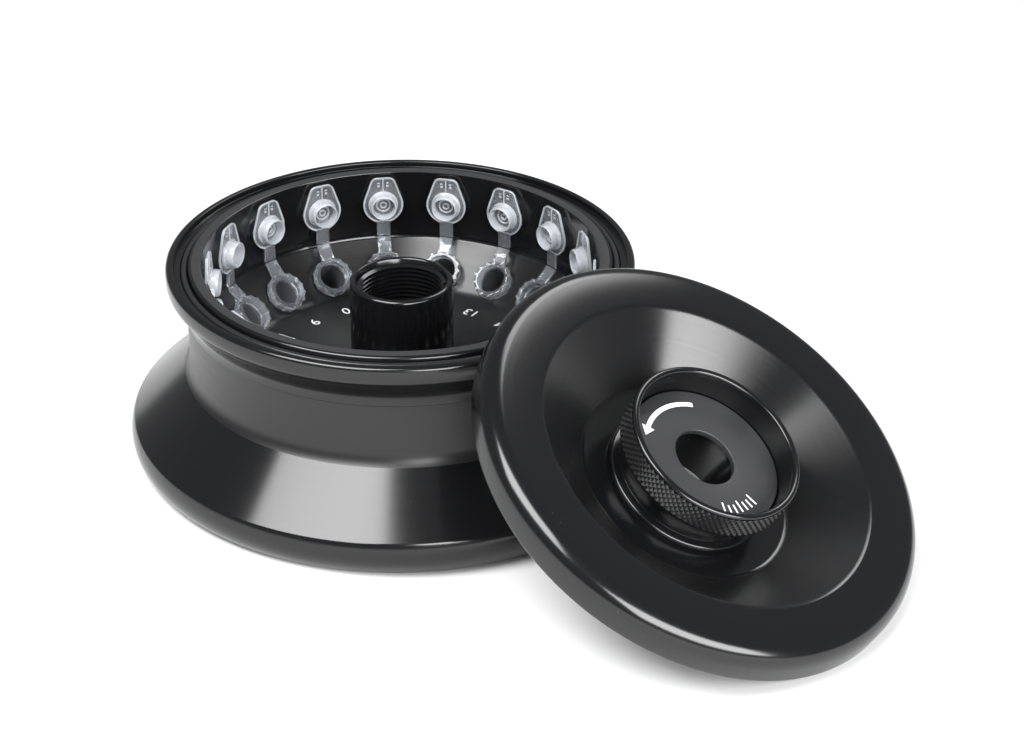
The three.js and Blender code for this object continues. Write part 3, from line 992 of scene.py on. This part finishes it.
def buildKnobFace(s):
    face = spun([
        (s["holeR"], s["faceZ"] - s["faceT"], 0.3),
        (s["recessR"] - 0.25, s["faceZ"] - s["faceT"], 0.2),
        (s["recessR"] - 0.2, s["faceZ"], 0.45),
        (s["holeR"], s["faceZ"], 0.4),
    ], steps=144)
    addPiece("knobFace", meshFrom(face, "knobFace"), lidPlace, [greyAnodised], "knob", ["knob_face"])


buildKnobFace(knobSizes)


def arcStrip(inner, outer, start, end, low, high):
    # a flat strip bent round the axis, angles in degrees
    bm = bmesh.new()
    first = [bm.verts.new((r * mm, 0, low * mm)) for r in (inner, outer)]
    bm.edges.new(first)
    bmesh.ops.rotate(bm, verts=bm.verts[:], cent=(0, 0, 0),
                     matrix=Matrix.Rotation(math.radians(start), 3, "Z"))
    steps = max(2, int(abs(end - start) / 3))
    bmesh.ops.spin(bm, geom=bm.verts[:] + bm.edges[:], cent=(0, 0, 0), axis=(0, 0, 1),
                   angle=math.radians(end - start), steps=steps)
    grown = bmesh.ops.extrude_face_region(bm, geom=bm.faces[:])
    lifted = [g for g in grown["geom"] if isinstance(g, bmesh.types.BMVert)]
    bmesh.ops.translate(bm, verts=lifted, vec=(0, 0, (high - low) * mm))
    bmesh.ops.recalc_face_normals(bm, faces=bm.faces[:])
    return meshFrom(bm, "strip")


def arrowHead(radius, angle, length, width, low, high, way):
    bm = bmesh.new()
    points = [(radius - width / 2, 0), (radius + width / 2, 0), (radius, way * length)]
    face = bm.faces.new([bm.verts.new((x * mm, y * mm, low * mm)) for x, y in points])
    grown = bmesh.ops.extrude_face_region(bm, geom=[face])
    lifted = [g for g in grown["geom"] if isinstance(g, bmesh.types.BMVert)]
    bmesh.ops.translate(bm, verts=lifted, vec=(0, 0, (high - low) * mm))
    bmesh.ops.recalc_face_normals(bm, faces=bm.faces[:])
    bmesh.ops.rotate(bm, verts=bm.verts[:], cent=(0, 0, 0),
                     matrix=Matrix.Rotation(math.radians(angle), 3, "Z"))
    return meshFrom(bm, "arrow")


def faceMarks(s):
    # a generic turn-to-close arrow and a row of ticks, printed on the knob face
    size = {"radius": 19.3, "width": 1.5, "start": 140.0, "end": 205.0, "headL": 3.6, "headW": 4.2,
            "ticks": 7, "tickStart": -34.0, "tickStep": 6, "tickWide": 1.6, "tickOuter": 20.4}
    low = s["faceZ"] + 0.01
    high = low + 0.04
    strips = [arcStrip(size["radius"] - size["width"] / 2, size["radius"] + size["width"] / 2,
                       size["start"], size["end"], low, high)]
    strips.append(arrowHead(size["radius"], size["end"], size["headL"], size["headW"], low, high, 1))
    for i in range(size["ticks"]):
        angle = size["tickStart"] + size["tickStep"] * i
        inner = 17.4 if i % 3 else 16.4  # every third tick is longer
        strips.append(arcStrip(inner, size["tickOuter"], angle, angle + size["tickWide"], low, high))
    addPiece("faceMarks", joinedMesh(strips, "faceMarks"), lidPlace, [whitePrint], "knob")


faceMarks(knobSizes)
spunPiece("knobWasher", plainRing(*knobSizes["washer"]), lidPlace, washerPlastic, "lid",
          "knob_washer", 96)
spunPiece("knobClip", plainRing(*knobSizes["clip"]), lidPlace, springBronze, "knob",
          "knob_clip", 96)
print("lid and knob ready")


# ---- floor, light and camera

floorLook = {"size": 3, "colour": (0.72, 0.72, 0.72, 1), "roughness": 0.9}


def buildFloor(s):
    bm = bmesh.new()
    bmesh.ops.create_grid(bm, x_segments=2, y_segments=2, size=s["size"])
    mesh = bpy.data.meshes.new("floor")
    bm.to_mesh(mesh)
    bm.free()
    floor = bpy.data.objects.new("floor", mesh)
    bpy.context.scene.collection.objects.link(floor)
    material, _, _, shader = newMaterial("paleFloor")
    shader.inputs["Base Color"].default_value = s["colour"]
    shader.inputs["Roughness"].default_value = s["roughness"]
    mesh.materials.append(material)


buildFloor(floorLook)


def softBox(name, azimuth, elevation, distance, width, height, roll, power):
    light = bpy.data.lights.new(name, "AREA")
    light.shape = "RECTANGLE"
    light.size = width
    light.size_y = height
    light.energy = power
    lamp = bpy.data.objects.new(name, light)
    bpy.context.scene.collection.objects.link(lamp)
    turn = Matrix.Rotation(math.radians(azimuth + 90), 4, "Z")
    tip = Matrix.Rotation(math.radians(90 - elevation), 4, "X")
    away = Matrix.Translation((0, 0, distance))
    lamp.matrix_world = turn @ tip @ away @ Matrix.Rotation(math.radians(roll), 4, "Z")


# direction from the object in degrees, distance, width, height and roll, then watts
lights = {
    "leftBox": ((-138, 56), 1.3, 0.98, 0.62, 4, 27),
    "rightBox": ((-58, 26), 1.3, 1.25, 0.56, -8, 33),
    "backBox": ((55, 49), 1.3, 0.4, 0.5, 0, 4.2),
}
for name, ((azimuth, elevation), distance, width, height, roll, power) in lights.items():
    softBox(name, azimuth, elevation, distance, width, height, roll, power)

studio = {"colour": (0.97, 0.98, 1, 1), "strength": 0.26}
world = bpy.data.worlds.new("studio")
world.use_nodes = True
world.node_tree.nodes["Background"].inputs["Color"].default_value = studio["colour"]
world.node_tree.nodes["Background"].inputs["Strength"].default_value = studio["strength"]
bpy.context.scene.world = world
bpy.context.scene.view_settings.view_transform = "Standard"

cameraSettings = {"lens": 90.5, "distance": 0.8252, "elevation": 26.54, "yaw": 2.431, "pitch": -2.577,
                  "roll": -0.865}


def buildCamera(s):
    # looks at the middle of the rim from in front, then turned a little to frame the lid too
    data = bpy.data.cameras.new("camera")
    data.lens = s["lens"]
    data.sensor_width = 36
    camera = bpy.data.objects.new("camera", data)
    bpy.context.scene.collection.objects.link(camera)
    rise = math.radians(s["elevation"])
    target = Vector((hubMiddle[0], hubMiddle[1], rimTop))
    back = Vector((0, -math.cos(rise), math.sin(rise)))
    forward = -back
    right = Vector((1, 0, 0))
    up = right.cross(forward)
    level = Matrix((right, up, forward))
    cy, sy = math.cos(math.radians(s["yaw"])), math.sin(math.radians(s["yaw"]))
    cp, sp = math.cos(math.radians(s["pitch"])), math.sin(math.radians(s["pitch"]))
    cr, sr = math.cos(math.radians(s["roll"])), math.sin(math.radians(s["roll"]))
    yaw = Matrix(((cy, 0, -sy), (0, 1, 0), (sy, 0, cy)))
    pitch = Matrix(((1, 0, 0), (0, cp, -sp), (0, sp, cp)))
    roll = Matrix(((cr, sr, 0), (-sr, cr, 0), (0, 0, 1)))
    seen = roll @ pitch @ yaw @ level
    turn = Matrix((seen[0], seen[1], -seen[2])).transposed()
    camera.matrix_world = Matrix.Translation(target + back * s["distance"]) @ turn.to_4x4()
    bpy.context.scene.camera = camera


buildCamera(cameraSettings)
print("stage ready")
